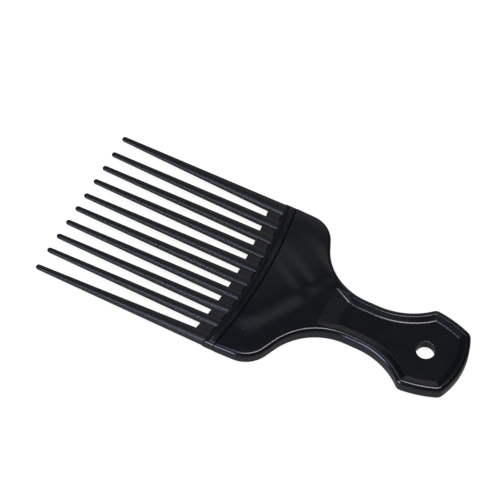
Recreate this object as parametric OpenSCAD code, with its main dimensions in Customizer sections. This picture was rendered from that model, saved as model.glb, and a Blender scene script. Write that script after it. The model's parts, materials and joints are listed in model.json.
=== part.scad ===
// Afro pick: ten tapered teeth, a curved ridge at their roots, a shoulder
// plate and a waisted grip with a recessed panel and a hanging hole.
// It lies flat: X runs from the tooth tips to the end of the grip, Y is across
// the teeth and Z is up, with the origin under the middle of the part.

/* [Overall] */
// Width over the two outer teeth
head_w = 72.4; // [70:0.2:76]
// Thickness of the grip, which is the height of the part as it lies
grip_t = 6.6; // [6:0.1:7.6]
// Thickness of the ridge and of the plate where it meets the ridge
head_t = 5.8; // [5:0.1:6.4]

/* [Teeth] */
// Distance between the tips of neighbouring inner teeth, as a share of the width
tip_pitch_share = 0.1033; // [0.101:0.0001:0.1045]
// Distance between neighbouring inner teeth at the ridge, as a share of the width
root_pitch_share = 0.1011; // [0.099:0.0001:0.103]
// Length of the middle teeth, from the tip to the foot of the ridge
tooth_len = 79.1; // [70:0.1:88]
// Width of a tooth at its tip
tip_w = 2.1; // [1.6:0.1:2.6]
// Width of an inner tooth at the ridge
root_w = 3.9; // [3:0.1:4.4]
// Width of an outer tooth at the ridge
outer_root_w = 5.3; // [4.6:0.1:6]
// Thickness of a tooth at its tip
tip_t = 1.1; // [1:0.1:1.8]
// Thickness of a tooth at the ridge
root_t = 3.3; // [2.6:0.1:4]
// Radius along the long edges of a tooth
tooth_edge_r = 0.4; // [0.2:0.05:0.45]
// Length of the rounded nose of a tooth
nose_len = 1.3; // [0.6:0.1:2]

/* [Webs and ridge] */
// Radius of the arc where the ridge meets the shoulder plate
joint_arc_r = 191; // [170:1:220]
// Width of the ridge, from its foot to the shoulder plate
ridge_w = 4.5; // [3.8:0.1:6]
// Length of the thin webs between the tooth roots
web_len = 6.5; // [4:0.1:9]
// Thickness of the webs
web_t = 1.6; // [1:0.1:2.2]
// Run of the sloping front of the ridge
ridge_slope = 1.3; // [0.8:0.1:1.5]
// Width of the flat crest of the ridge
ridge_crest = 0.6; // [0.3:0.1:0.8]
// Run of each side of the shallow groove behind the crest
groove_slope = 0.3; // [0.2:0.05:0.4]
// Depth of that groove
groove_depth = 0.2; // [0.1:0.05:0.4]

/* [Shoulder plate] */
// Length of the plate on the centre line, from the ridge to the neck line
plate_len = 27.3; // [25:0.1:32]
// How far each side of the plate draws in before it turns
side_draw = 0.25; // [0:0.05:0.6]
// Radius of the rounded shoulders
shoulder_r = 12.4; // [8:0.1:13]
// Radius of the hollow between a shoulder and the neck
hollow_r = 25.25; // [20:0.25:27]
// Angle that the sides turn through from the shoulder to the hollow
shoulder_turn = 65.9; // [60:0.1:70]

/* [Grip] */
// Length of the grip, from the neck line to its end
grip_len = 59.1; // [54:0.1:68]
// Width of the neck at its narrowest
neck_w = 19.2; // [17:0.2:22]
// Distance from the neck line to the narrowest place
neck_lead = 13.2; // [12:0.1:15]
// Length of the straight sides at the narrowest place
neck_straight = 5.2; // [2:0.1:8]
// Width over the side corners of the grip
spade_w = 36.7; // [32:0.1:42]
// Distance from the end of the grip back to its side corners
spade_len = 19.7; // [17:0.1:23]
// Width over the two corners of the grip's end
end_w = 28.6; // [24:0.2:31]
// Radius of the bowed sides between the corners
spade_side_r = 48.5; // [40:0.5:70]
// Radius of the bowed end
end_r = 32.3; // [26:0.1:45]
// Rounding of the side corners, seen from above
side_corner_r = 3; // [1:0.1:4]
// Rounding of the end corners, seen from above
end_corner_r = 3.8; // [1:0.1:5]
// Rounding of the outer edges of the grip and the shoulder plate
edge_r = 1.6; // [0.8:0.1:1.8]

/* [Recessed panel] */
// Width of the raised rim round the panel
rim_w = 2.15; // [1.9:0.05:2.8]
// Run of the sloping wall between the rim and the panel
wall_run = 2.6; // [1.5:0.05:3]
// Thickness of the panel, from floor to floor
panel_t = 4.35; // [3.4:0.05:5.2]
// Level land between the neck line and the top of the ramp
ramp_land = 0.4; // [0.3:0.1:1]
// Run of the ramp that comes down to the panel at the neck
ramp_len = 7.1; // [5:0.1:9]

/* [Hanging hole] */
// Diameter of the hanging hole
hole_d = 7.4; // [5:0.1:9]
// Distance from the end of the grip back to the hole's centre
hole_back = 16.1; // [13:0.1:18]

/* [Hidden] */
TOOTH_COUNT = 10;
// Extra length by which a cut or a rough form runs past the finished face
overrun = 1;
// Smallest rounding left at a corner once an outline is drawn in past it
sharp_r = 0.2;
// Angle at which the nose's curve begins, which leaves a small blunt tip
nose_angle = 20;
// Gap between the hole and the polygon that the panel's faces are joined to
pad_gap = 1.2;
pad_steps = 24;
// Least straight run kept between a shoulder and the hollow
least_run = 0.4;
arc_fn = 360;
round_fn = 96;
// Steps in which the curves of the lofted forms are drawn
edge_steps = 4;
nose_steps = 4;
corner_steps = 3;
hollow_steps = 9;
neck_steps = 10;
spade_steps = 5;
round_steps = 3;

tooth_black = [0.10, 0.10, 0.11];
web_black = [0.07, 0.07, 0.08];
ridge_black = [0.12, 0.12, 0.13];
plate_black = [0.08, 0.08, 0.09];
grip_black = [0.09, 0.09, 0.10];

// Distance between neighbouring inner teeth, at the tips and at the ridge
tip_pitch = tip_pitch_share * head_w;
root_pitch = root_pitch_share * head_w;

// Stations along X, counted from the tooth tips
mid_z = head_t / 2;
joint_x = tooth_len + ridge_w;
neck_x = joint_x + plate_len;
hollow_x = neck_x + neck_lead;
waist_x = hollow_x + neck_straight;
end_x = neck_x + grip_len;

// The joint, the ridge's foot and the slot ends are arcs about one centre
arc_x = joint_x - joint_arc_r;
foot_arc_r = joint_arc_r - ridge_w;
slot_arc_r = foot_arc_r - web_len;
joint_side_x = arc_x + sqrt(joint_arc_r ^ 2 - (head_w / 2) ^ 2);

// Shoulder: a rounded corner, a short straight run and the hollow
turn_n = [sin(shoulder_turn), cos(shoulder_turn)];
plate_w = head_w - 2 * side_draw;
shoulder_rise = (plate_w - neck_w) / 2 - least_run;
shoulder_fit_r = min(shoulder_r, shoulder_rise / (1 - turn_n.y) - hollow_r);
hollow_c = [hollow_x, neck_w / 2 + hollow_r];
hollow_start = hollow_c - hollow_r * turn_n;
shoulder_end_y = plate_w / 2 - shoulder_fit_r * (1 - turn_n.y);
shoulder_run = (shoulder_end_y - hollow_start.y) / turn_n.x;
shoulder_end = hollow_start - shoulder_run * [turn_n.y, -turn_n.x];
shoulder_c = shoulder_end - shoulder_fit_r * turn_n;

// Grip: its side corners, its end corners and the arcs between them
spade_corner = [end_x - spade_len, spade_w / 2];
end_c = [end_x - end_r, 0];
end_corner = [end_c.x + sqrt(end_r ^ 2 - (end_w / 2) ^ 2), end_w / 2];
waist_rise = (spade_w - neck_w) / 2;
waist_r = ((spade_corner.x - waist_x) ^ 2 + waist_rise ^ 2) / (2 * waist_rise);
waist_c = [waist_x, neck_w / 2 + waist_r];
spade_c = arc_centre(spade_corner, end_corner, spade_side_r);

hole_c = [end_x - hole_back, 0];
pad_r = hole_d / 2 + pad_gap;
panel_depth = (grip_t - panel_t) / 2;
ramp_x = neck_x + ramp_land;
edge_fit_r = min(edge_r, rim_w - sharp_r);

// Centre of an arc of radius r that bows to the left from p to q
function arc_centre(p, q, r) =
    let (half = (q - p) / 2, reach = sqrt(r ^ 2 - norm(half) ^ 2))
    p + half + reach * [half.y, -half.x] / norm(half);

// Where a circle about a meets one about b, to the right of the way from a to b
function crossing(a, ra, b, rb) =
    let (d = norm(b - a), u = (b - a) / d)
    let (along = (ra ^ 2 - rb ^ 2 + d ^ 2) / (2 * d))
    a + along * u + sqrt(ra ^ 2 - along ^ 2) * [u.y, -u.x];

function direction(v) = atan2(v.y, v.x);

function arc_points(c, r, from, to, steps) = [
    for (i = [0 : steps])
        let (a = from + (to - from) * i / steps)
        c + r * [cos(a), sin(a)]
];

// Closes a half outline, given from the neck or the ridge on, into a loop that
// comes back along its +Y side and goes out again along its -Y side
function loop(half) = concat(
    [for (i = [len(half) - 1 : -1 : 0]) half[i]],
    [for (p = half) [p.x, -p.y]]
);

// Heights and insets of an edge that is rounded below and above
function edge_levels() = [
    for (i = [0 : edge_steps])
        let (a = 90 * i / edge_steps)
        edge_fit_r * [1 - sin(a), 1 - cos(a)]
];

// Triangles of an end face that is to be bored. They join its ring to a small
// polygon about the bore, so that none of their sides grazes the bore's edge.
// first, pad and hub are the point numbers of the ring, the polygon and its
// middle, and c is where that middle lies
function bored_face(ring, c, first, pad, hub) = concat(
    [
        for (j = [0 : len(ring) - 1])
            let (k = (j + 1) % len(ring), m = pad_side(ring[j], c))
            let (steps = (pad_side(ring[k], c) - m + pad_steps) % pad_steps)
            each concat(
                [[pad + m, first + j, first + k]],
                [for (t = [0 : 1 : steps - 1])
                    [pad + (m + t) % pad_steps, first + k, pad + (m + t + 1) % pad_steps]]
            )
    ],
    [for (m = [0 : pad_steps - 1]) [hub, pad + m, pad + (m + 1) % pad_steps]]
);

// Number of the polygon's corner that lies nearest in direction to p
function pad_side(p, c) =
    (round(direction([p.x, p.y] - c) * pad_steps / 360) + pad_steps) % pad_steps;

// A closed solid through rings that have the same number of points. Where its
// two ends are to be bored, bore_c is the bore's centre, seen from above
module loft(rings, bore_c = []) {
    n = len(rings[0]);
    last = len(rings) - 1;
    count = len(rings) * n;
    bored = len(bore_c) > 0;
    pads = [
        for (ring = bored ? [rings[0], rings[last]] : []) each concat(
            [for (p = arc_points(bore_c, pad_r, 0, 360 - 360 / pad_steps, pad_steps - 1))
                [p.x, p.y, ring[0].z]],
            [[bore_c.x, bore_c.y, ring[0].z]]
        )
    ];
    low_face = bored
        ? bored_face(rings[0], bore_c, 0, count, count + pad_steps)
        : [[for (j = [0 : n - 1]) j]];
    high_face = bored
        ? bored_face(rings[last], bore_c, last * n, count + pad_steps + 1, count + 2 * pad_steps + 1)
        : [[for (j = [0 : n - 1]) last * n + j]];
    polyhedron(
        points = concat([for (ring = rings) each ring], pads),
        faces = concat(
            low_face,
            [for (face = high_face) [for (i = [len(face) - 1 : -1 : 0]) face[i]]],
            [for (i = [0 : last - 1]) for (j = [0 : n - 1])
                [i * n + j, (i + 1) * n + j, i * n + (j + 1) % n]],
            [for (i = [0 : last - 1]) for (j = [0 : n - 1])
                [i * n + (j + 1) % n, (i + 1) * n + j, (i + 1) * n + (j + 1) % n]]
        ),
        convexity = 6
    );
}

// Puts a form that is drawn from the tooth tips into the part's own frame
module placed() {
    translate([-end_x / 2, 0, 0])
        children();
}

// Middle of tooth i, counted from the +Y side, in steps of the pitch
function tooth_step(i) = (TOOTH_COUNT + 1) / 2 - i;

// The two flanks of tooth i as [low y, high y]; the outer teeth are flush
// with the sides of the head
function flanks(i, pitch, w, outer_w) =
    i == 1 ? [head_w / 2 - outer_w, head_w / 2]
    : i == TOOTH_COUNT ? [-head_w / 2, outer_w - head_w / 2]
    : [tooth_step(i) * pitch - w / 2, tooth_step(i) * pitch + w / 2];
function flanks_at(i, x) =
    let (tip = flanks(i, tip_pitch, tip_w, tip_w))
    let (root = flanks(i, root_pitch, root_w, outer_root_w))
    tip + (root - tip) * x / tooth_len;
function tooth_t_at(x) = tip_t + (root_t - tip_t) * x / tooth_len;

// Section of a tooth at x, drawn in towards its middle by the share given
function tooth_ring(i, x, share) =
    let (flanks = flanks_at(i, x), t = tooth_t_at(x))
    let (c = (flanks[0] + flanks[1]) / 2, w = share * (flanks[1] - flanks[0]) / 2)
    let (h = share * t / 2, r = share * tooth_edge_r)
    [
        for (k = [0 : 3]) for (s = [0 : corner_steps])
            let (a = 90 * (k + s / corner_steps))
            let (sy = k == 0 || k == 3 ? 1 : -1, sz = k < 2 ? 1 : -1)
            [x, c + sy * (w - r) + r * cos(a), mid_z + sz * (h - r) + r * sin(a)]
    ];

module tooth(i) {
    color(tooth_black)
        placed()
        intersection() {
            loft(concat(
                [for (s = [0 : nose_steps])
                    let (a = nose_angle + (90 - nose_angle) * s / nose_steps)
                    let (x = nose_len * (1 - cos(a) / cos(nose_angle)))
                    tooth_ring(i, x, sin(a))],
                [tooth_ring(i, tooth_len + overrun, 1)]
            ));
            translate([arc_x, 0, 0])
                cylinder(h = grip_t, r = foot_arc_r, $fn = arc_fn);
        }
}

// Thin web that fills the foot of the gap between tooth i and tooth i + 1
module web(i) {
    from_x = arc_x + slot_arc_r - head_w / 4;
    to_x = tooth_len + overrun;
    color(web_black)
        placed()
        translate([0, 0, mid_z - web_t / 2])
        linear_extrude(web_t)
        intersection() {
            polygon([
                [from_x, flanks_at(i, from_x)[0]],
                [to_x, flanks_at(i, to_x)[0]],
                [to_x, flanks_at(i + 1, to_x)[1]],
                [from_x, flanks_at(i + 1, from_x)[1]]
            ]);
            translate([arc_x, 0])
                difference() {
                    circle(foot_arc_r, $fn = arc_fn);
                    circle(slot_arc_r, $fn = arc_fn);
                }
        }
}

// Upper half of the ridge's section: out from the foot, and up from the middle
function ridge_top() = [
    [0, root_t / 2],
    [ridge_slope, head_t / 2],
    [ridge_slope + ridge_crest, head_t / 2],
    [ridge_slope + ridge_crest + groove_slope, head_t / 2 - groove_depth],
    [ridge_w - groove_slope, head_t / 2 - groove_depth],
    [ridge_w, head_t / 2]
];

// Section across the head, w by t, with rounded edges
module edge_section(w, t, r) {
    square([w - 2 * r, t], center = true);
    square([w, t - 2 * r], center = true);
    for (sx = [-1, 1]) for (sy = [-1, 1])
        translate([sx * (w / 2 - r), sy * (t / 2 - r)])
            circle(r, $fn = round_fn);
}

module ridge_bar() {
    top = ridge_top();
    section = concat(top, [for (i = [len(top) - 1 : -1 : 0]) [top[i].x, -top[i].y]]);
    reach = joint_x - (arc_x + foot_arc_r * cos(asin(head_w / 2 / foot_arc_r)));
    color(ridge_black)
        placed()
        translate([0, 0, mid_z])
        intersection() {
            translate([arc_x, 0, 0])
                rotate_extrude($fn = arc_fn)
                translate([foot_arc_r, 0])
                    polygon(section);
            translate([joint_x + overrun, 0, 0])
                rotate([90, 0, -90])
                linear_extrude(reach + 2 * overrun)
                    edge_section(head_w, head_t, edge_fit_r);
        }
}

// Height of the plate's upper face, which climbs from the ridge to the neck
function plate_top(x) = head_t + (grip_t - head_t) * (x - joint_side_x) / (neck_x - joint_side_x);

// Half outline of the plate, drawn in by e along its sides
function plate_side(e) =
    let (stop = asin((neck_x - hollow_x) / (hollow_r + e)) - 90)
    concat(
        [[joint_side_x - overrun, head_w / 2 - e]],
        arc_points(shoulder_c, shoulder_fit_r - e, 90, 90 - shoulder_turn, hollow_steps),
        arc_points(hollow_c, hollow_r + e, 270 - shoulder_turn - 360, stop, hollow_steps)
    );

function plate_ring(e, low, high, use_high) =
    [
        for (p = loop(plate_side(e)))
            [p.x, p.y, use_high ? plate_top(p.x) - high : low]
    ];

module shoulder_plate() {
    levels = edge_levels();
    steps = len(levels) - 1;
    color(plate_black)
        placed()
        difference() {
            loft(concat(
                [for (i = [0 : steps]) plate_ring(levels[i].x, levels[i].y, 0, false)],
                [for (i = [steps : -1 : 0]) plate_ring(levels[i].x, 0, levels[i].y, true)]
            ));
            translate([arc_x, 0, -overrun])
                cylinder(h = grip_t + 2 * overrun, r = joint_arc_r, $fn = arc_fn);
        }
}

// Half outline of the grip from x on, drawn in by e
function grip_side(e, x) =
    let (rs = max(side_corner_r - e, sharp_r), re = max(end_corner_r - e, sharp_r))
    let (side_f = crossing(spade_c, spade_side_r - e - rs, waist_c, waist_r + e + rs))
    let (end_f = crossing(spade_c, spade_side_r - e - re, end_c, end_r - e - re))
    let (start = asin((x - hollow_x) / (hollow_r + e)) - 90)
    concat(
        arc_points(hollow_c, hollow_r + e, start, -90, hollow_steps),
        arc_points(waist_c, waist_r + e, -90, direction(side_f - waist_c), neck_steps),
        arc_points(side_f, rs, direction(waist_c - side_f), direction(side_f - spade_c), round_steps),
        arc_points(spade_c, spade_side_r - e, direction(side_f - spade_c), direction(end_f - spade_c), spade_steps),
        arc_points(end_f, re, direction(end_f - spade_c), direction(end_f - end_c), round_steps),
        arc_points(end_c, end_r - e, direction(end_f - end_c), 0, spade_steps)
    );

// The joins between the arcs and the tip of the end are shared points
function distinct(points) = [
    for (i = [0 : len(points) - 1])
        if (norm(points[i] - points[(i + 1) % len(points)]) > sharp_r / 100)
            points[i]
];

function grip_ring(e, x, z) =
    [
        for (p = distinct(loop(grip_side(e, x))))
            [p.x, p.y, z]
    ];

// Inset, height and start of each ring from the panel's floor, up the sloping
// wall and the ramp to the rim, and round the outer edge
function grip_levels() = concat(
    [
        [rim_w + wall_run, panel_depth, ramp_x + ramp_len],
        [rim_w, 0, ramp_x]
    ],
    [for (level = edge_levels()) [level.x, level.y, neck_x]]
);

module grip() {
    levels = grip_levels();
    last = len(levels) - 1;
    color(grip_black)
        placed()
        difference() {
            loft(concat(
                [for (i = [0 : last]) grip_ring(levels[i][0], levels[i][2], levels[i][1])],
                [for (i = [last : -1 : 0])
                    grip_ring(levels[i][0], levels[i][2], grip_t - levels[i][1])]
            ), bore_c = hole_c);
            translate([hole_c.x, hole_c.y, -overrun])
                cylinder(h = grip_t + 2 * overrun, d = hole_d, $fn = round_fn);
        }
}

tooth(1);  // tooth_01
tooth(2);  // tooth_02
tooth(3);  // tooth_03
tooth(4);  // tooth_04
tooth(5);  // tooth_05
tooth(6);  // tooth_06
tooth(7);  // tooth_07
tooth(8);  // tooth_08
tooth(9);  // tooth_09
tooth(10);  // tooth_10
web(1);  // web_01
web(2);  // web_02
web(3);  // web_03
web(4);  // web_04
web(5);  // web_05
web(6);  // web_06
web(7);  // web_07
web(8);  // web_08
web(9);  // web_09
ridge_bar();
shoulder_plate();
grip();
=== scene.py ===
# Afro pick in satin black plastic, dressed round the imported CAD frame
import json
import math

import bpy
from mathutils import Euler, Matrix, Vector

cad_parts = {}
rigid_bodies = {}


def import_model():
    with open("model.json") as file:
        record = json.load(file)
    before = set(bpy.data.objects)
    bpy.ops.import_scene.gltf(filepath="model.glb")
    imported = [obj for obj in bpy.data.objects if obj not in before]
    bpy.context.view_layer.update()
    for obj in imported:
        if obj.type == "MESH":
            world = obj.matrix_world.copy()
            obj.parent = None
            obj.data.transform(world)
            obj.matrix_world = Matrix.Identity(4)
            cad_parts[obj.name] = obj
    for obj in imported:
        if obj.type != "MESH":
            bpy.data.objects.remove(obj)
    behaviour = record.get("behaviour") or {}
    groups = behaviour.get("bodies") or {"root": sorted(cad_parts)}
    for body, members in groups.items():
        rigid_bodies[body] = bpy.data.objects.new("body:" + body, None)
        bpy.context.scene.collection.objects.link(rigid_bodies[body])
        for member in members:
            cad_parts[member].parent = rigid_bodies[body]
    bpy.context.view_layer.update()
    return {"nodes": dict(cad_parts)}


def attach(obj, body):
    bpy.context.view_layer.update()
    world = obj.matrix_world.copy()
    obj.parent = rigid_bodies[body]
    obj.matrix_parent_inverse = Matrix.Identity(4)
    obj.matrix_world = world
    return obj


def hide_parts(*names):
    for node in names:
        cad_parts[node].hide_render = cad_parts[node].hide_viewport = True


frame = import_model()
print("frame loaded:", len(frame["nodes"]), "nodes")

mm = 0.001
tipX = -0.085  # tooth tips in the frame; the sizes below count X from here
near = 0.002 * mm  # places closer than this count as one
longRun = 10 * mm  # an edge that goes further than this along X runs lengthwise
largeFaces = 60  # how much the large faces lead the shading; 50 is even

head = {
    "halfWidth": 36.2,
    "toothMidZ": 2.9,
    "toothRootX": 79.1,  # foot of the ridge on the centre line
    "jointX": 83.6,  # fine line between ridge and plate, on the centre line
    "jointRadius": 191.0,
    "jointSpare": 0.02,  # what is closer than this to the fine line's arc lies on it
    "neckX": 111.3,  # neck line, where plate and grip meet and the panel begins
    "thickness": 5.8,
}
arcCentreX = head["jointX"] - head["jointRadius"]


# Selecting and editing

def makeActive(obj):
    if bpy.context.object and bpy.context.object.mode != "OBJECT":
        bpy.ops.object.mode_set(mode="OBJECT")
    bpy.ops.object.select_all(action="DESELECT")
    obj.select_set(True)
    bpy.context.view_layer.objects.active = obj


def edit(obj, kind, chosen):
    # chosen takes an edge or face and the mesh; the picked ones are selected in edit mode
    makeActive(obj)
    bpy.ops.object.mode_set(mode="EDIT")
    bpy.ops.mesh.select_mode(type=kind)
    bpy.ops.mesh.select_all(action="DESELECT")
    bpy.ops.object.mode_set(mode="OBJECT")
    mesh = obj.data
    count = 0
    for item in mesh.edges if kind == "EDGE" else mesh.polygons:
        if chosen(item, mesh):
            item.select = True
            count += 1
    bpy.ops.object.mode_set(mode="EDIT")
    return count


def done():
    bpy.ops.object.mode_set(mode="OBJECT")


def everything(item, mesh):
    return True


def polygonPiece(name, points, z):
    # a flat filled outline: a circle with its vertices moved to the points
    bpy.ops.object.select_all(action="DESELECT")
    bpy.ops.mesh.primitive_circle_add(vertices=len(points), radius=mm, fill_type="NGON")
    obj = bpy.context.object
    obj.name = name
    obj.data.name = name
    for v, (x, y) in zip(obj.data.vertices, points):
        v.co = (tipX + x * mm, y * mm, z * mm)
    return obj


def applyModifiers(obj):
    makeActive(obj)
    for m in list(obj.modifiers):
        bpy.ops.object.modifier_apply(modifier=m.name)


def boolean(obj, cutter, operation):
    m = obj.modifiers.new("cut", "BOOLEAN")
    m.operation = operation
    m.object = cutter
    m.solver = "EXACT"
    applyModifiers(obj)
    bpy.data.objects.remove(cutter)


def recalc(obj):
    # merges doubles and points the faces outwards
    edit(obj, "FACE", everything)
    bpy.ops.mesh.remove_doubles(threshold=near)
    bpy.ops.mesh.normals_make_consistent(inside=False)
    done()
    if sum(p.center.dot(p.normal) * p.area for p in obj.data.polygons) < 0:
        edit(obj, "FACE", everything)
        bpy.ops.mesh.flip_normals()
        done()


def faceBends(mesh):
    # angle in degrees at each edge between two faces
    sides = {}
    for p in mesh.polygons:
        for key in p.edge_keys:
            sides.setdefault(key, []).append(p.normal)
    return {
        key: math.degrees(ns[0].angle(ns[1], 0)) for key, ns in sides.items() if len(ns) == 2
    }


def bendAt(bends, e):
    # 0 where the edge doesn't join two faces
    return bends.get(tuple(sorted(e.vertices)), 0)


def lengthwise(e, mesh):
    a, b = [mesh.vertices[i].co for i in e.vertices]
    return abs(a.x - b.x) > longRun


def bevelWhere(obj, chosen, width, segments):
    count = edit(obj, "EDGE", chosen)
    bpy.ops.mesh.bevel(
        offset=width * mm, segments=segments, affect="EDGES", clamp_overlap=False, loop_slide=True)
    done()
    return count


def bisectGrid(obj, chosen, xs, ys):
    # cuts the chosen faces along planes across X and Y, so that they can be bent a little
    for axis, values in ((0, xs), (1, ys)):
        for value in values:
            edit(obj, "FACE", chosen)
            point = [0, 0, 0]
            normal = [0, 0, 0]
            point[axis] = value * mm + (tipX if axis == 0 else 0)
            normal[axis] = 1
            bpy.ops.mesh.bisect(plane_co=point, plane_no=normal)
            done()


def smooth(obj, crease):
    # smooth shading that stays sharp where faces bend by more than the crease angle
    makeActive(obj)
    bpy.ops.object.shade_smooth_by_angle(angle=math.radians(crease))
    m = obj.modifiers.new("normals", "WEIGHTED_NORMAL")
    m.keep_sharp = True
    m.weight = largeFaces
    applyModifiers(obj)


def ease(a, b, x):
    # soft rise from 0 to 1 while x goes from a to b
    t = min(max((x - a) / (b - a), 0), 1)
    return t * t * (3 - 2 * t)


# Outlines

def arc(centre, radius, start, stop, steps):
    # points on a circle from one angle to another, in degrees
    points = []
    for i in range(steps + 1):
        a = math.radians(start + (stop - start) * i / steps)
        points.append(Vector((centre[0] + radius * math.cos(a), centre[1] + radius * math.sin(a))))
    return points


def crossing(a, ra, b, rb):
    # where two circles meet, to the right of the way from a to b
    way = b - a
    d = way.length
    u = way / d
    along = (ra * ra - rb * rb + d * d) / (2 * d)
    return a + along * u + math.sqrt(ra * ra - along * along) * Vector((u.y, -u.x))


def heading(v):
    return math.degrees(math.atan2(v.y, v.x))


outline = {
    "sideDraw": 0.25,  # how far the plate's side is drawn in at the shoulder
    "shoulderRadius": 12.4,
    "hollowRadius": 25.25,
    "turn": 65.9,  # degrees that shoulder and hollow turn through
    "waistX": (124.1, 129.3),  # ends of the waist's straight run
    "waistHalf": 9.6,  # half the waist's width
    "spadeCorner": (150.3, 18.35),
    "endCorner": (166.66, 14.3),
    "spadeRadius": 48.5,
    "endX": 170.0,
    "endRadius": 32.3,
    "cornerRounding": (3.0, 3.8),  # at the spade's corner and the end's
    "steps": {"line": 60, "shoulder": 22, "hollow": 14, "waist": 22, "corner": 8, "spade": 10, "end": 12},
}


def gripCircles():
    # middles of the arcs that the grip's side is made of, with the waist's radius
    o = outline
    corner = Vector(o["spadeCorner"])
    end = Vector(o["endCorner"])
    rise = corner.y - o["waistHalf"]
    run = corner.x - o["waistX"][1]
    waistR = (run * run + rise * rise) / (2 * rise)
    waist = Vector((o["waistX"][1], o["waistHalf"] + waistR))
    half = (end - corner) / 2
    reach = math.sqrt(o["spadeRadius"] ** 2 - half.length_squared)
    spade = corner + half + reach * Vector((half.y, -half.x)) / half.length
    tail = Vector((o["endX"] - o["endRadius"], 0))
    hollow = Vector((o["waistX"][0], o["waistHalf"] + o["hollowRadius"]))
    return hollow, waist, waistR, spade, tail


def gripSide(inset, startX, rounded):
    # half outline of the grip from startX to the end's apex, on the +Y side, drawn in by the inset
    o = outline
    steps = o["steps"]
    hollow, waist, waistR, spade, tail = gripCircles()
    hr = o["hollowRadius"] + inset
    first = heading(Vector((startX - hollow.x, -math.sqrt(hr * hr - (startX - hollow.x) ** 2))))
    points = arc(hollow, hr, first, -90, steps["hollow"])
    r1, r2 = [max(r - inset, 0) if rounded else 0 for r in o["cornerRounding"]]
    sr = o["spadeRadius"] - inset
    er = o["endRadius"] - inset
    a = crossing(spade, sr - r1, waist, waistR + inset + r1)
    b = crossing(spade, sr - r2, tail, er - r2)
    points += arc(waist, waistR + inset, -90, heading(a - waist), steps["waist"])
    if r1 > 0:
        points += arc(a, r1, heading(waist - a), heading(a - spade), steps["corner"])[1:]
    points += arc(spade, sr, heading(a - spade), heading(b - spade), steps["spade"])[1:]
    if r2 > 0:
        points += arc(b, r2, heading(b - spade), heading(b - tail), steps["corner"])[1:]
    points += arc(tail, er, heading(b - tail), 0, steps["end"])[1:]
    return points


def closed(half):
    # loop that runs out on the -Y side and comes back on the +Y side
    low = [Vector((p.x, -p.y)) for p in half]
    return [(p.x, p.y) for p in low] + [(p.x, p.y) for p in reversed(half[:-1])]


def bodySide():
    # half outline of plate and grip, from the fine line to the end's apex, on the +Y side
    o = outline
    n = Vector((math.sin(math.radians(o["turn"])), math.cos(math.radians(o["turn"]))))
    hollow = gripCircles()[0]
    top = head["halfWidth"] - o["sideDraw"]
    hollowStart = hollow - o["hollowRadius"] * n
    shoulderEndY = top - o["shoulderRadius"] * (1 - n.y)
    run = (shoulderEndY - hollowStart.y) / n.x
    shoulderEnd = hollowStart - run * Vector((n.y, -n.x))
    shoulder = shoulderEnd - o["shoulderRadius"] * n
    jointSide = arcCentreX + math.sqrt(head["jointRadius"] ** 2 - head["halfWidth"] ** 2)
    points = [Vector((jointSide, head["halfWidth"]))]
    points += arc(shoulder, o["shoulderRadius"], 90, 90 - o["turn"], o["steps"]["shoulder"])
    grip = gripSide(0, head["neckX"], True)
    stop = heading(grip[0] - hollow)
    points += arc(hollow, o["hollowRadius"], -90 - o["turn"], stop, o["steps"]["hollow"])
    return points + grip[1:]


def distanceTo(line, x, y, start=0):
    # distance in mm from a point to a line, closed when it starts at 0 and open at 1
    best = math.inf
    p = Vector((x, y))
    for i in range(start, len(line)):
        a = Vector(line[i - 1])
        way = Vector(line[i]) - a
        t = min(max((p - a).dot(way) / way.length_squared, 0), 1) if way.length_squared else 0
        best = min(best, (p - a - t * way).length)
    return best


# Body: shoulder plate and grip in one skin

body = {
    "thickness": 6.6,
    "edgeRadius": 1.6,
    "edgeSteps": 8,
    "lineEdge": 0.40,  # rounding beside the fine line
    "rimWidth": 2.15,
    "wallRun": 2.3,
    "flareFrom": 10.15,  # beside the ramp the walls' upper edge flares out from here
    "flareShare": 0.08,  # by this share of the outline's own flare
    "panelDepth": 1.125,
    "rampX": head["neckX"],  # the ramp leads down from the neck line to the panel's floor
    "rampRun": 7.1,
    "holeX": 153.9,
    "holeRadius": 3.7,
    "holeSteps": 72,
    "rimEdge": 0.16,  # rounding where rim and wall meet
    "floorEdge": 0.4,  # also where two walls meet
    "foldSteps": 3,  # segments of these roundings and of the one beside the fine line
    "holeEdge": 0.3,
    "holeEdgeSteps": 4,
    "bossRadius": 6.3,  # low ring round the hole
    "bossSteps": 96,
    "bossRise": 0.05,
    "cutSpare": 0.5,  # how far the panel's cutter stands out of the face
    "panelSpare": 0.25,  # how far the rounded edges may lie outside the rim's inner line
    "panelBend": (6, 40),  # the panel's edges bend by this many degrees
    "lineBend": 60,  # the edges at the fine line bend by more than this
    "crease": 30,
}


def fromArcCentre(co):
    return math.hypot((co.x - tipX) / mm - arcCentreX, co.y / mm)


def onJoint(co):
    return abs(fromArcCentre(co) - head["jointRadius"]) < head["jointSpare"]


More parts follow.
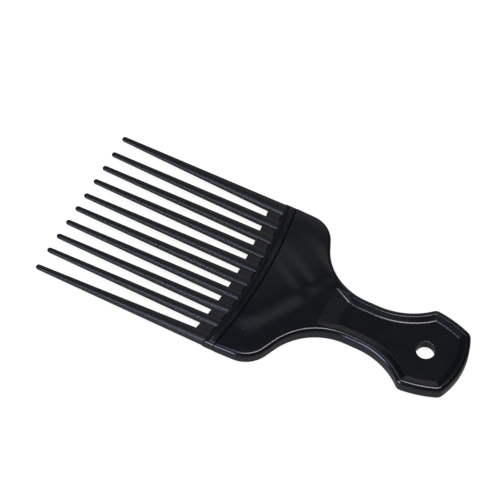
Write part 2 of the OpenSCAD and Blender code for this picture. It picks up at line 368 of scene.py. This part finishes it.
def makePanelCutter(side):
    # the recess of the upper face for side 1, of the underside for side -1
    b = body
    over = b["cutSpare"] / b["panelDepth"]
    low = closed(gripSide(b["rimWidth"] + b["wallRun"], b["rampX"] + b["rampRun"], False))
    high = closed(gripSide(b["rimWidth"] - over * b["wallRun"], b["rampX"] - over * b["rampRun"], False))
    floorZ = b["thickness"] - b["panelDepth"] if side > 0 else b["panelDepth"]
    openZ = b["thickness"] + b["cutSpare"] if side > 0 else -b["cutSpare"]
    cutter = polygonPiece("panelCutter", low, floorZ)
    edit(cutter, "FACE", everything)
    bpy.ops.mesh.extrude_region_move(TRANSFORM_OT_translate={"value": (0, 0, (openZ - floorZ) * mm)})
    done()
    # the open end's vertices come in another order, so each looks for its own low point first
    for v in cutter.data.vertices[len(low):]:
        place = Vector(((v.co.x - tipX) / mm, v.co.y / mm))
        x, y = high[min(range(len(low)), key=lambda i: (place - Vector(low[i])).length)]
        if x < b["rampX"] + b["rampRun"] and abs(y) > b["flareFrom"]:
            y = math.copysign(b["flareFrom"] + b["flareShare"] * (abs(y) - b["flareFrom"]), y)
        v.co = (tipX + x * mm, y * mm, openZ * mm)
    recalc(cutter)
    return cutter


def makeBody():
    b = body
    a = math.degrees(math.asin(head["halfWidth"] / head["jointRadius"]))
    front = arc(Vector((arcCentreX, 0)), head["jointRadius"], a, -a, outline["steps"]["line"])[1:-1]
    points = closed(bodySide()) + [(p.x, p.y) for p in front]
    obj = polygonPiece("body", points, 0)
    edit(obj, "FACE", everything)
    bpy.ops.mesh.extrude_region_move(TRANSFORM_OT_translate={"value": (0, 0, b["thickness"] * mm)})
    done()
    recalc(obj)

    def outer(e, mesh):
        p, q = [mesh.vertices[i].co for i in e.vertices]
        return abs(p.z - q.z) < near and not (onJoint(p) and onJoint(q))

    bevelWhere(obj, outer, b["edgeRadius"], b["edgeSteps"])
    print("body outline rounded")
    for side in (1, -1):
        boolean(obj, makePanelCutter(side), "DIFFERENCE")
    hole = (tipX + b["holeX"] * mm, 0, b["thickness"] / 2 * mm)
    bossDepth = b["thickness"] - 2 * b["panelDepth"] + 2 * b["bossRise"]
    bpy.ops.mesh.primitive_cylinder_add(
        vertices=b["bossSteps"], radius=b["bossRadius"] * mm, depth=bossDepth * mm, location=hole)
    boolean(obj, bpy.context.object, "UNION")
    bpy.ops.mesh.primitive_cylinder_add(
        vertices=b["holeSteps"], radius=b["holeRadius"] * mm, depth=2 * b["thickness"] * mm, location=hole)
    boolean(obj, bpy.context.object, "DIFFERENCE")
    recalc(obj)
    return obj


bodyObj = makeBody()
print("body:", len(bodyObj.data.polygons), "faces", [round(d / mm, 3) for d in bodyObj.dimensions])


def sameHeight(e, mesh, z):
    p, q = [mesh.vertices[i].co for i in e.vertices]
    return abs(p.z - z * mm) < near and abs(q.z - z * mm) < near


def breakEdges(obj):
    # rounds the rim, the panel's foot, the hole and the edge at the fine line
    b = body
    t = b["thickness"]
    hole = Vector((tipX + b["holeX"] * mm, 0))

    def aroundHole(e, mesh):
        return all(
            abs((mesh.vertices[i].co.xy - hole).length - b["holeRadius"] * mm) < near for i in e.vertices)

    for z in (b["panelDepth"] - b["bossRise"], t - b["panelDepth"] + b["bossRise"]):
        bevelWhere(
            obj, lambda e, m: sameHeight(e, m, z) and aroundHole(e, m), b["holeEdge"], b["holeEdgeSteps"])
    sideLoop = closed(bodySide())
    rimStart = tipX + (b["rampX"] - b["cutSpare"]) * mm
    rimInside = b["rimWidth"] - b["panelSpare"]

    def onPanel(e, mesh):
        ends = [mesh.vertices[i].co for i in e.vertices]
        return all(
            c.x > rimStart and distanceTo(sideLoop, (c.x - tipX) / mm, c.y / mm) > rimInside for c in ends)

    def mitre(e, mesh, z):
        # where two walls meet, on the same side of the grip as z
        ends = [mesh.vertices[i].co.z / mm for i in e.vertices]
        steep = abs(ends[0] - ends[1]) > b["panelDepth"] / 2
        return steep and all((c - t / 2) * (z - t / 2) > 0 for c in ends)

    def panelEdge(e, mesh, z, withMitres):
        first, last = b["panelBend"]
        return (
            first < bendAt(bends, e) < last and not aroundHole(e, mesh)
            and (sameHeight(e, mesh, z) or withMitres and mitre(e, mesh, z)) and onPanel(e, mesh))

    def lineEdge(e, mesh):
        return all(onJoint(mesh.vertices[i].co) for i in e.vertices) and bendAt(bends, e) > b["lineBend"]

    heights = [(z, b["floorEdge"], True) for z in (b["panelDepth"], t - b["panelDepth"])]
    heights += [(0, b["rimEdge"], False), (t, b["rimEdge"], False)]
    for z, width, withMitres in heights:
        bends = faceBends(obj.data)
        count = bevelWhere(obj, lambda e, m: panelEdge(e, m, z, withMitres), width, b["foldSteps"])
        print("rounded", count, "edges at height", z)
    bends = faceBends(obj.data)
    count = bevelWhere(obj, lineEdge, b["lineEdge"], b["foldSteps"])
    print("rounded", count, "edges at the fine line")


breakEdges(bodyObj)
recalc(bodyObj)
print("body:", len(bodyObj.data.polygons), "faces", [round(d / mm, 3) for d in bodyObj.dimensions])


bendPlan = {
    "gridStep": 1.8,
    "slopeFrom": 82.0,  # the upper face climbs from here
    "slopeTo": head["neckX"],
    "sideDrop": 0.13,  # how far the head's upper face falls off at its sides
    "sideRun": 3.2,  # over this width, inside the rounded edge
    "rollEnd": (97.0, 108.0),  # where the fall fades out towards the neck
    "flat": 0.99,  # a face is flat where its normal's Z is more than this
}


def upperRise(x):
    # share of the full thickness that the upper face has at x
    t = head["thickness"] / body["thickness"]
    p = bendPlan
    return t + (1 - t) * min(max((x - p["slopeFrom"]) / (p["slopeTo"] - p["slopeFrom"]), 0), 1)


def sideFall(inward, z, middle, half):
    # drop of the upper face at a distance inward from the outline, fading to nothing at mid height
    p = bendPlan
    share = 1 - min(max(inward - body["edgeRadius"], 0) / p["sideRun"], 1)
    return p["sideDrop"] * share * share * min(max((z - middle) / half, 0), 1)


def shapePlate(obj):
    # cuts the upper face into a grid, lets it climb to the neck and fall off at the sides
    p = bendPlan
    step = p["gridStep"]
    middle = body["thickness"] / 2

    def top(f, mesh):
        return f.normal.z > p["flat"] and f.center.z > middle * mm

    def upper(f, mesh):
        return top(f, mesh) and f.center.x < tipX + p["slopeTo"] * mm + near

    bisectGrid(obj, top, [p["slopeTo"]], [])
    along = int((p["slopeTo"] - p["slopeFrom"]) / step)
    across = int(head["halfWidth"] / step)
    xs = [p["slopeFrom"] + step * i for i in range(along + 1)]
    ys = [step * i for i in range(-across, across + 1)]
    bisectGrid(obj, upper, xs, ys)
    line = bodySide()
    for v in obj.data.vertices:
        x, y, z = (v.co.x - tipX) / mm, abs(v.co.y / mm), v.co.z / mm
        fall = 0
        if z > middle and x < p["rollEnd"][1]:
            fall = sideFall(distanceTo(line, x, y, 1), z, middle, middle) * (1 - ease(*p["rollEnd"], x))
        v.co.z = (z * upperRise(x) - fall) * mm
    obj.data.update()


shapePlate(bodyObj)
smooth(bodyObj, body["crease"])
print("body:", len(bodyObj.data.polygons), "faces", [round(d / mm, 3) for d in bodyObj.dimensions])


# Ridge across the tooth roots

ridge = {
    "width": 4.5,
    # half section: X from the foot's arc, then half height; steep foot, rounded slope and crest
    "front": [
        (-0.75, 0.80), (-0.38, 1.20), (0, 1.72), (0.55, 2.13), (1.10, 2.50), (1.55, 2.76), (1.80, 2.88),
        (1.95, 2.90)],
    "crestEnd": 2.12,
    "grooveSlope": 0.24,
    "grooveDepth": 0.18,
    "grooveEnds": (32.7, 33.6),  # the groove runs out here on both sides
    "slitWidth": 0.20,
    "slitDepth": 1.0,
    "lineEdge": 0.08,
    "ledge": 0.24,  # flat strip between the groove and the fine line
    "sweep": 12.0,  # degrees that the bar is spun to each side, a little past the sides of the head
    "steps": 120,
    "trimX": (70, 90),  # the sides are trimmed over this stretch
    "spare": 0.02,  # heights this close to the groove's floor lie on it
    "crease": 30,
}


def makeRidge():
    # a section spun along the arc, with its sides trimmed and rounded like the plate's
    r = ridge
    half = head["thickness"] / 2
    floor = half - r["grooveDepth"]
    lineX = r["width"] - r["slitWidth"]
    ledgeX = lineX - r["ledge"]
    top = r["front"] + [
        (r["crestEnd"], half),
        (r["crestEnd"] + r["grooveSlope"], floor),
        (ledgeX - r["grooveSlope"], floor),
        (ledgeX, half),
        (lineX - r["lineEdge"], half),
        (lineX, half - r["lineEdge"]),
        (lineX, half - r["slitDepth"]),
        (r["width"], half - r["slitDepth"] - r["slitWidth"]),
    ]
    profile = top + [(x, -z) for x, z in reversed(top)]
    obj = polygonPiece("ridgeBar", profile, 0)
    foot = head["jointRadius"] - r["width"]
    centreX = tipX + arcCentreX * mm
    middle = head["toothMidZ"]
    a = math.radians(r["sweep"])
    for v, (x, z) in zip(obj.data.vertices, profile):
        reach = (foot + x) * mm
        v.co = (centreX + reach * math.cos(a), reach * math.sin(a), (middle + z) * mm)
    edit(obj, "FACE", everything)
    bpy.ops.mesh.spin(steps=r["steps"], angle=2 * a, center=(centreX, 0, 0), axis=(0, 0, 1))
    done()
    recalc(obj)
    for v in obj.data.vertices:
        up = v.co.z / mm - middle
        if r["crestEnd"] < fromArcCentre(v.co) - foot < lineX and abs(abs(up) - floor) < r["spare"]:
            up += math.copysign(r["grooveDepth"] * ease(*r["grooveEnds"], abs(v.co.y / mm)), up)
            v.co.z = (middle + up) * mm
    bpy.ops.mesh.primitive_cube_add(size=1, location=(0, 0, 0))
    slab = bpy.context.object
    start, stop = r["trimX"]
    for v in slab.data.vertices:
        v.co = (
            tipX + (start if v.co.x < 0 else stop) * mm, math.copysign(head["halfWidth"] * mm, v.co.y),
            0 if v.co.z < 0 else head["thickness"] * mm)
    bevelWhere(slab, lengthwise, body["edgeRadius"], body["edgeSteps"])
    boolean(obj, slab, "INTERSECT")
    recalc(obj)
    for v in obj.data.vertices:
        v.co.z -= sideFall(head["halfWidth"] - abs(v.co.y / mm), v.co.z / mm, middle, half) * mm
    smooth(obj, r["crease"])
    return obj


ridgeObj = makeRidge()
print("ridge:", len(ridgeObj.data.polygons), "faces", [round(d / mm, 3) for d in ridgeObj.dimensions])


# Teeth

tooth = {
    "tipPitch": 7.479,  # the teeth stand a little closer at the ridge
    "rootPitch": 7.320,
    "tipWidth": 2.1,
    "rootWidth": 3.9,
    "outerRootWidth": 5.3,
    "tipThickness": 1.1,
    "rootThickness": 3.3,
    "edge": 0.11,
    "edgeSteps": 2,
    "edgeBend": 45,  # the long edges bend by more degrees than this
    "crown": 0.125,  # fall of the rounded top and underside at the sides, as a share of half the width
    "crownCuts": 4,
    "leans": {2: 0.2, 5: -0.4},  # teeth that stand a little to one side at their tips
    "noseLength": 1.25,
    "noseTurn": 74,  # degrees that the rounded tip turns through before its small flat
    "noseSteps": 5,
    "middle": 5.5,  # place of the centre line, counted in teeth
    "buried": 0.3,  # how far a tooth runs on inside the ridge
    "outerEndX": 76.2,  # the ridge's foot curves back to here at the sides
    "sideGap": 0.03,  # keeps the outer teeth's ends inside the ridge's sides
    "endSpare": 0.1,  # vertices this close to the end, or
    "sideSpare": 0.05,  # this close to the head's side, belong to it
    "crease": 40,
}


def makeTooth(name, tipSides, rootSides, endX):
    # one straight tapered tooth; the sides are (low y, high y) at the tip and at the ridge
    t = tooth
    length = head["toothRootX"]
    start = t["noseLength"]
    bpy.ops.object.select_all(action="DESELECT")
    bpy.ops.mesh.primitive_cube_add(size=1, location=(0, 0, 0))
    obj = bpy.context.object
    obj.name = name
    obj.data.name = name

    def section(x):
        share = x / length
        low, high = [a + (b - a) * share for a, b in zip(tipSides, rootSides)]
        thick = t["tipThickness"] + (t["rootThickness"] - t["tipThickness"]) * share
        return low, high, thick

    cuts = t["crownCuts"]
    for i in range(1 - cuts, cuts):
        edit(obj, "FACE", everything)
        bpy.ops.mesh.bisect(plane_co=(0, i / cuts / 2, 0), plane_no=(0, 1, 0))
        done()
    for v in obj.data.vertices:
        x = start if v.co.x < 0 else endX
        low, high, thick = section(x)
        across = 2 * v.co.y
        half = (high - low) / 2
        up = thick / 2 - t["crown"] * half * across * across
        v.co = (tipX + x * mm, (low + half * (1 + across)) * mm,
                (head["toothMidZ"] + math.copysign(up, v.co.z)) * mm)

    bends = faceBends(obj.data)
    bevelWhere(
        obj, lambda e, m: lengthwise(e, m) and bendAt(bends, e) > t["edgeBend"], t["edge"], t["edgeSteps"])
    low, high, thick = section(start)
    middle = (0, (low + high) / 2 * mm, head["toothMidZ"] * mm)
    turn = math.radians(t["noseTurn"])
    width = 1
    reach = 0
    for i in range(1, t["noseSteps"] + 1):
        a = turn * i / t["noseSteps"]
        nextWidth = math.cos(a)
        nextReach = t["noseLength"] * math.sin(a) / math.sin(turn)
        edit(obj, "FACE", lambda f, m: f.normal.x < -bendPlan["flat"]
             and f.center.x < tipX + (start - reach) * mm + near)
        bpy.ops.mesh.extrude_region_move(
            TRANSFORM_OT_translate={"value": ((reach - nextReach) * mm, 0, 0)})
        bpy.ops.transform.resize(
            value=(1, nextWidth / width, nextWidth / width), center_override=middle)
        done()
        width, reach = nextWidth, nextReach
    return obj


def copyOf(obj, name):
    other = obj.copy()
    other.data = obj.data.copy()
    other.name = name
    other.data.name = name
    bpy.context.collection.objects.link(other)
    return other


def placeTooth(obj, number):
    # moves a copy of the inner tooth to its place
    t = tooth
    for v in obj.data.vertices:
        share = (v.co.x - tipX) / mm / head["toothRootX"]
        pitch = t["tipPitch"] + (t["rootPitch"] - t["tipPitch"]) * share
        lean = t["leans"].get(number, 0) * (1 - share)
        v.co.y += ((t["middle"] - number) * pitch + lean) * mm


def fitRoot(obj):
    # brings the tooth's end onto the arc, just inside the ridge
    t = tooth
    reach = head["jointRadius"] - ridge["width"]
    for v in obj.data.vertices:
        y = v.co.y / mm
        if v.co.x > tipX + (t["outerEndX"] - t["endSpare"]) * mm:
            v.co.x = tipX + (arcCentreX + math.sqrt(reach ** 2 - y * y) + t["buried"]) * mm
            if abs(abs(y) - head["halfWidth"]) < t["sideSpare"]:
                v.co.y -= math.copysign(t["sideGap"], y) * mm


def makeTeeth():
    t = tooth
    w = head["halfWidth"]
    tip, root, outerRoot = t["tipWidth"], t["rootWidth"], t["outerRootWidth"]
    inner = makeTooth("tooth02", (-tip / 2, tip / 2), (-root / 2, root / 2), head["toothRootX"])
    made = {number: inner if number == 2 else copyOf(inner, "tooth%02d" % number) for number in range(2, 10)}
    for number, obj in made.items():
        placeTooth(obj, number)
    made[1] = makeTooth("tooth01", (w - tip, w), (w - outerRoot, w), t["outerEndX"])
    made[10] = makeTooth("tooth10", (-w, tip - w), (-w, outerRoot - w), t["outerEndX"])
    for obj in made.values():
        fitRoot(obj)
        recalc(obj)
        smooth(obj, t["crease"])
    return made


teeth = makeTeeth()
print("teeth:", len(teeth), "of", len(teeth[1].data.polygons), "faces")


# Webs between the tooth roots

web = {
    "length": 6.5,
    "thickness": 1.6,
    "overlap": 0.3,  # how far a web reaches into the teeth and the ridge
    "sidesX": 74,  # where the sides of the teeth are taken
    "frontEdge": 0.15,
    "frontEdgeSteps": 3,
    "frontSpare": 0.01,  # vertices this close to the front's arc lie on it
    "arcSteps": 8,
    "crease": 40,
}


def toothSides(number, x):
    # low and high Y of a tooth's sides at x
    t = tooth
    w = head["halfWidth"]
    share = x / head["toothRootX"]
    if number in (1, 10):
        width = t["tipWidth"] + (t["outerRootWidth"] - t["tipWidth"]) * share
        return (w - width, w) if number == 1 else (-w, width - w)
    pitch = t["tipPitch"] + (t["rootPitch"] - t["tipPitch"]) * share
    width = t["tipWidth"] + (t["rootWidth"] - t["tipWidth"]) * share
    y = (t["middle"] - number) * pitch
    return y - width / 2, y + width / 2


def makeWeb(number):
    # the web between this tooth and the next
    p = web
    slotRadius = head["jointRadius"] - ridge["width"] - p["length"]
    rootRadius = head["jointRadius"] - ridge["width"] + p["overlap"]
    high = toothSides(number, p["sidesX"])[0] + p["overlap"]
    low = toothSides(number + 1, p["sidesX"])[1] - p["overlap"]
    front = []
    back = []
    for i in range(p["arcSteps"] + 1):
        y = low + (high - low) * i / p["arcSteps"]
        front.append((arcCentreX + math.sqrt(slotRadius ** 2 - y * y), y))
        back.append((arcCentreX + math.sqrt(rootRadius ** 2 - y * y), y))
    bottom = head["toothMidZ"] - p["thickness"] / 2
    obj = polygonPiece("web%02d" % number, list(reversed(front)) + back, bottom)
    edit(obj, "FACE", everything)
    bpy.ops.mesh.extrude_region_move(TRANSFORM_OT_translate={"value": (0, 0, p["thickness"] * mm)})
    done()
    recalc(obj)

    def frontEdge(e, mesh):
        ends = [mesh.vertices[i].co for i in e.vertices]
        return abs(ends[0].z - ends[1].z) < near and all(
            abs(fromArcCentre(c) - slotRadius) < p["frontSpare"] for c in ends)

    bevelWhere(obj, frontEdge, p["frontEdge"], p["frontEdgeSteps"])
    smooth(obj, p["crease"])
    return obj


webs = {number: makeWeb(number) for number in range(1, 10)}
print("webs:", len(webs))


# Finish

class Sum:
    # a socket that can be written into sums

    def __init__(self, tree, socket):
        self.tree = tree
        self.socket = socket

    def math(self, operation, other=None, turned=False):
        node = self.tree.nodes.new("ShaderNodeMath")
        node.operation = operation
        slots = [self, other] if not turned else [other, self]
        for i, value in enumerate(slots):
            if isinstance(value, Sum):
                self.tree.links.new(value.socket, node.inputs[i])
            elif value is not None:
                node.inputs[i].default_value = value
        return Sum(self.tree, node.outputs[0])

    def __add__(self, other):
        return self.math("ADD", other)

    def __radd__(self, other):
        return self.math("ADD", other, True)

    def __sub__(self, other):
        return self.math("SUBTRACT", other)

    def __rsub__(self, other):
        return self.math("SUBTRACT", other, True)

    def __mul__(self, other):
        return self.math("MULTIPLY", other)

    def __rmul__(self, other):
        return self.math("MULTIPLY", other, True)


class Nodes:
    # adds nodes to a tree; an input is named by its label, or i0, i1 by its place

    def __init__(self, tree):
        self.tree = tree

    def node(self, kind, settings=None, output=0, **inputs):
        node = self.tree.nodes.new(kind)
        for key, value in (settings or {}).items():
            setattr(node, key, value)
        for key, value in inputs.items():
            name = int(key[1:]) if key[1:].isdigit() else key.replace("_", " ")
            self.feed(node.inputs[name], value)
        return Sum(self.tree, node.outputs[output])

    def feed(self, socket, value):
        if isinstance(value, Sum):
            self.tree.links.new(value.socket, socket)
        else:
            socket.default_value = value


def fade(n, value, start, stop, first=0.0, last=1.0):
    # soft change from first to last while the value goes from start to stop
    return n.node("ShaderNodeMapRange", {"interpolation_type": "SMOOTHSTEP"}, output="Result",
                  Value=value, From_Min=start, From_Max=stop, To_Min=first, To_Max=last)


def axisOf(n, axis, vector):
    # one coordinate of a vector
    return n.node("ShaderNodeSeparateXYZ", output=axis, Vector=vector)


def mixed(n, share, first, second):
    # colour between the first at share 0 and the second at 1
    return n.node("ShaderNodeMixRGB", output="Color", Fac=share, Color1=first, Color2=second)


def newFinish(name):
    # a material, its nodes, and the sockets of its Principled shader
    material = bpy.data.materials.new(name)
    material.use_nodes = True
    return material, Nodes(material.node_tree), material.node_tree.nodes["Principled BSDF"].inputs


plastic = {
    "colour": (0.0036, 0.0042, 0.0062, 1),
    "mattColour": (0.0046, 0.0050, 0.0068, 1),
    "webSheen": (0.0100, 0.0098, 0.0112, 1),  # lighter colour of the webs between the roots: a painted sheen for the light their rougher face catches
    "satin": 0.17,  # flats of the plate and the grip
    "matt": 0.25,  # teeth and webs
    "gloss": 0.20,  # rounded edges and walls
    "patches": (160, 3),  # scale and detail of the uneven gloss
    "patchShare": 0.06,
    "index": 1.5,  # of refraction
    "flatFrom": (0.93, 0.995),  # faces that look up or down by this much take the flats' finish
    "mattTo": (-0.0065, -0.0035),  # where the head's matt finish ends, along X
    "webHeight": (0.00375, 0.0039),  # the webs lie below this
    "webFrom": (-0.0175, -0.0165),  # and beyond this, along X
    "grain": (5200, 2),  # scale and detail of the fine grain on the flats
    "creases": (900, 2),  # and of the coarser one on the webs
    "creaseShare": 3,
    "grainDepth": 0.02 * mm,
    "grainStrength": 0.12,
    "specks": 210,  # of dust
    "speckSize": (0.022, 0.040),
    "speckColour": (0.13, 0.13, 0.14, 1),
}

# gentle waves of the moulding: middle X and Y of the steep flank, way down it as an angle,
# its width and half its length in mm, height
waves = [
    (95.5, -11.0, -31, 11.0, 22.0, 0.92),
    (106.5, 8.6, -31, 8.0, 10.0, 0.50),
]
waveBack = 3.0  # length of the gentle flank behind, in widths of the steep one
waveEnds = (0.4, 1.0)  # where a wave fades out to both sides, in halves of its length


def makePlastic():
    p = plastic
    material, n, shader = newFinish("satinBlack")
    place = n.node("ShaderNodeTexCoord", output="Object")

    def noise(name):
        scale, detail = p[name]
        return n.node("ShaderNodeTexNoise", output="Fac", Vector=place, Scale=scale, Detail=detail)

    def wave(x, y, turn, width, half, height):
        spot = n.node(
            "ShaderNodeMapping", {"vector_type": "TEXTURE"}, output="Vector", Vector=place,
            Location=(tipX + x * mm, y * mm, 0), Rotation=(0, 0, math.radians(turn)),
            Scale=(width * mm, half * mm, 1))
        down = axisOf(n, "X", spot)
        back = fade(n, down, -0.5 - waveBack, -0.5, 0.0, height * mm)
        flank = fade(n, down, -0.5, 0.5, 1.0, 0.0)
        return back * flank * fade(n, axisOf(n, "Y", spot).math("ABSOLUTE"), *waveEnds, 1.0, 0.0)

    facing = n.node("ShaderNodeNewGeometry", output="Normal")
    flat = fade(n, axisOf(n, "Z", facing).math("ABSOLUTE"), *p["flatFrom"])
    onBody = fade(n, axisOf(n, "X", place), *p["mattTo"])
    low = fade(n, axisOf(n, "Z", place), *p["webHeight"], 1.0, 0.0)
    onWeb = low * fade(n, axisOf(n, "X", place), *p["webFrom"]) * (1 - onBody) * flat
    finish = p["matt"] + (p["satin"] - p["matt"]) * onBody
    uneven = (noise("patches") - 0.5) * p["patchShare"]
    n.feed(shader["Roughness"], p["gloss"] + (finish - p["gloss"]) * flat + uneven)
    speck = n.node("ShaderNodeTexVoronoi", output="Distance", Vector=place, Scale=p["specks"])
    speck = n.node("ShaderNodeMapRange", output="Result", Value=speck, From_Min=p["speckSize"][0],
                   From_Max=p["speckSize"][1], To_Min=1.0, To_Max=0.0)
    colour = mixed(n, onBody, p["mattColour"], p["colour"])
    # the webs take a lighter colour here, a painted sheen standing in for the light they catch
    colour = mixed(n, onWeb, colour, p["webSheen"])
    n.feed(shader["Base Color"], mixed(n, speck, colour, p["speckColour"]))
    n.feed(shader["IOR"], p["index"])
    height = wave(*waves[0])
    for one in waves[1:]:
        height = height + wave(*one)
    bent = n.node("ShaderNodeBump", output="Normal", Strength=1.0, Distance=1.0, Height=height)
    fine = noise("grain") * flat * onBody + noise("creases") * onWeb * p["creaseShare"]
    n.feed(shader["Normal"], n.node(
        "ShaderNodeBump", output="Normal", Strength=p["grainStrength"], Distance=p["grainDepth"],
        Height=fine, Normal=bent))
    return material


blackPlastic = makePlastic()
pieces = {"body": (bodyObj, ["shoulder_plate", "grip"]), "ridgeBar": (ridgeObj, ["ridge_bar"])}
for number, obj in teeth.items():
    pieces[obj.name] = (obj, ["tooth_%02d" % number])
for number, obj in webs.items():
    pieces[obj.name] = (obj, ["web_%02d" % number])
for obj, nodes in pieces.values():
    obj.data.materials.clear()
    obj.data.materials.append(blackPlastic)
    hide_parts(*nodes)
    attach(obj, "root")
print("pieces:", len(pieces))


# Table, lights and camera

stage = {
    "steps": 96,
    "radius": 4.0,
    "rim": 0.5,
    "rimRun": 0.3,
    "gap": 0.05 * mm,  # the table lies this far below the object's flat face
    "table": (0.17, 0.17, 0.17, 1),
    "dullness": 0.9,
    "glow": 0.90,  # what the camera sees of the table beside its own colour
    "glossGlow": 0.12,  # share of the glow that gloss sees
    "ceiling": 0.033,  # what gloss sees beside the lamps
    "fill": 0.40,  # even light from all round
    "farWall": 0.42,  # brightness of the grey wall beyond the object
    "farWay": (-0.28, 0.96, 0),  # direction of its middle
    "farSpread": (0.30, 0.50),  # how closely a direction has to agree with that
    "farSide": (0.96, 0.28, 0),  # direction along the wall
    "farEnds": (0.10, 0.36),  # where it fades out to both sides
    "farTop": (0.76, 0.85),  # and towards the ceiling
    "coolWay": (-0.25, -0.36, 0.90),  # middle of a faint bluish patch of the ceiling
    "coolSpread": (0.90, 0.985),
    "coolGlow": 0.13,
    "coolColour": (0.70, 0.86, 1.30, 1),
    "softbox": {
        "place": (0.0845, 0.1035, 1.1), "turn": (0, 0, -27), "size": (0.27, 0.57),
        "radiance": 12.0, "colour": (1, 0.99, 0.98)},
    "strip": {
        "place": (-0.33, 0.13, 1.1), "turn": (0, 0, 0), "size": (0.42, 0.08),
        "radiance": 8.0, "colour": (0.82, 0.93, 1.24)},
    "window": {
        "place": (-0.49, -0.99, 0.37), "turn": (72, 0, -26), "size": (0.74, 0.60),
        "radiance": 8.0, "colour": (0.84, 0.95, 1.26)},
}


def makeTable():
    # a wide disc with a raised rim, so that no edge shows behind the object
    s = stage
    bpy.ops.object.select_all(action="DESELECT")
    bpy.ops.mesh.primitive_circle_add(
        vertices=s["steps"], radius=s["radius"], fill_type="NGON", location=(0, 0, -s["gap"]))
    obj = bpy.context.object
    obj.name = "table"
    edit(obj, "FACE", everything)
    bpy.ops.mesh.inset(thickness=s["rimRun"])
    done()
    for v in obj.data.vertices:
        if v.co.length > s["radius"] - s["rimRun"] / 2:
            v.co.z = s["rim"]
    material, n, shader = newFinish("paleTable")
    n.feed(shader["Base Color"], s["table"])
    n.feed(shader["Roughness"], s["dullness"])
    seen = n.node("ShaderNodeLightPath", output="Is Camera Ray")
    seen = seen.math("MAXIMUM", n.node("ShaderNodeLightPath", output="Is Glossy Ray") * s["glossGlow"])
    seen = seen.math("MAXIMUM", n.node("ShaderNodeLightPath", output="Is Transmission Ray"))
    n.feed(shader["Emission Color"], (1, 1, 1, 1))
    n.feed(shader["Emission Strength"], seen * s["glow"])
    # clear from below, so that the object's underside can be looked at
    nodes = material.node_tree.nodes
    clear = n.node("ShaderNodeMixShader", output="Shader",
                   i0=n.node("ShaderNodeNewGeometry", output="Backfacing"),
                   i1=Sum(n.tree, nodes["Principled BSDF"].outputs["BSDF"]),
                   i2=n.node("ShaderNodeBsdfTransparent", output="BSDF"))
    n.feed(nodes["Material Output"].inputs["Surface"], clear)
    obj.data.materials.append(material)


def makeLamp(name):
    # an area lamp whose power follows from its size and radiance
    lamp = stage[name]
    data = bpy.data.lights.new(name, "AREA")
    data.shape = "RECTANGLE"
    data.size, data.size_y = lamp["size"]
    data.color = lamp["colour"]
    data.energy = lamp["radiance"] * math.pi * data.size * data.size_y
    obj = bpy.data.objects.new(name, data)
    obj.location = lamp["place"]
    obj.rotation_euler = Euler([math.radians(a) for a in lamp["turn"]], "XYZ")
    bpy.context.collection.objects.link(obj)


def makeRoom():
    # even light for the pale table; gloss sees a dark ceiling and a grey wall beyond the object,
    # and the camera, from below, a white room
    s = stage
    world = bpy.context.scene.world or bpy.data.worlds.new("room")
    bpy.context.scene.world = world
    world.use_nodes = True
    back = world.node_tree.nodes["Background"]
    r = Nodes(world.node_tree)
    way = r.node("ShaderNodeTexCoord", output="Generated")

    def towards(name):
        return r.node("ShaderNodeVectorMath", {"operation": "DOT_PRODUCT"}, output="Value",
                      i0=way, i1=s[name])

    beside = fade(r, towards("farSide").math("ABSOLUTE"), *s["farEnds"])
    far = fade(r, towards("farWay"), *s["farSpread"])
    above = fade(r, axisOf(r, "Z", way), *s["farTop"])
    cool = fade(r, towards("coolWay"), *s["coolSpread"])
    even = r.node("ShaderNodeLightPath", output="Is Diffuse Ray")
    watched = r.node("ShaderNodeLightPath", output="Is Camera Ray")
    seen = s["ceiling"] + far * (1 - above) * (1 - beside) * s["farWall"] + cool * s["coolGlow"]
    strength = (seen * (1 - even) + even * s["fill"]) * (1 - watched) + watched
    r.feed(back.inputs["Strength"], strength)
    tint = cool * (1 - even) * (1 - watched)
    r.feed(back.inputs["Color"], mixed(r, tint, (1, 1, 1, 1), s["coolColour"]))


camera = {
    # solved from the photo's tooth tips, gap ends, hole and outline
    "place": (0.180401, -0.374194, 0.681758),
    "turn": (32.68647, -0.14956, 27.43821),
    "lens": 150.7466,
    "sensor": 36,
    "clip": (0.05, 20),
}


def makeCamera():
    c = camera
    data = bpy.data.cameras.new("camera")
    data.lens = c["lens"]
    data.sensor_width = c["sensor"]
    data.clip_start, data.clip_end = c["clip"]
    obj = bpy.data.objects.new("camera", data)
    obj.location = c["place"]
    obj.rotation_euler = Euler([math.radians(a) for a in c["turn"]], "XYZ")
    bpy.context.collection.objects.link(obj)
    bpy.context.scene.camera = obj


makeTable()
makeRoom()
for lampName in ("softbox", "strip", "window"):
    makeLamp(lampName)
makeCamera()
bpy.context.scene.view_settings.view_transform = "Standard"
print("scene ready")
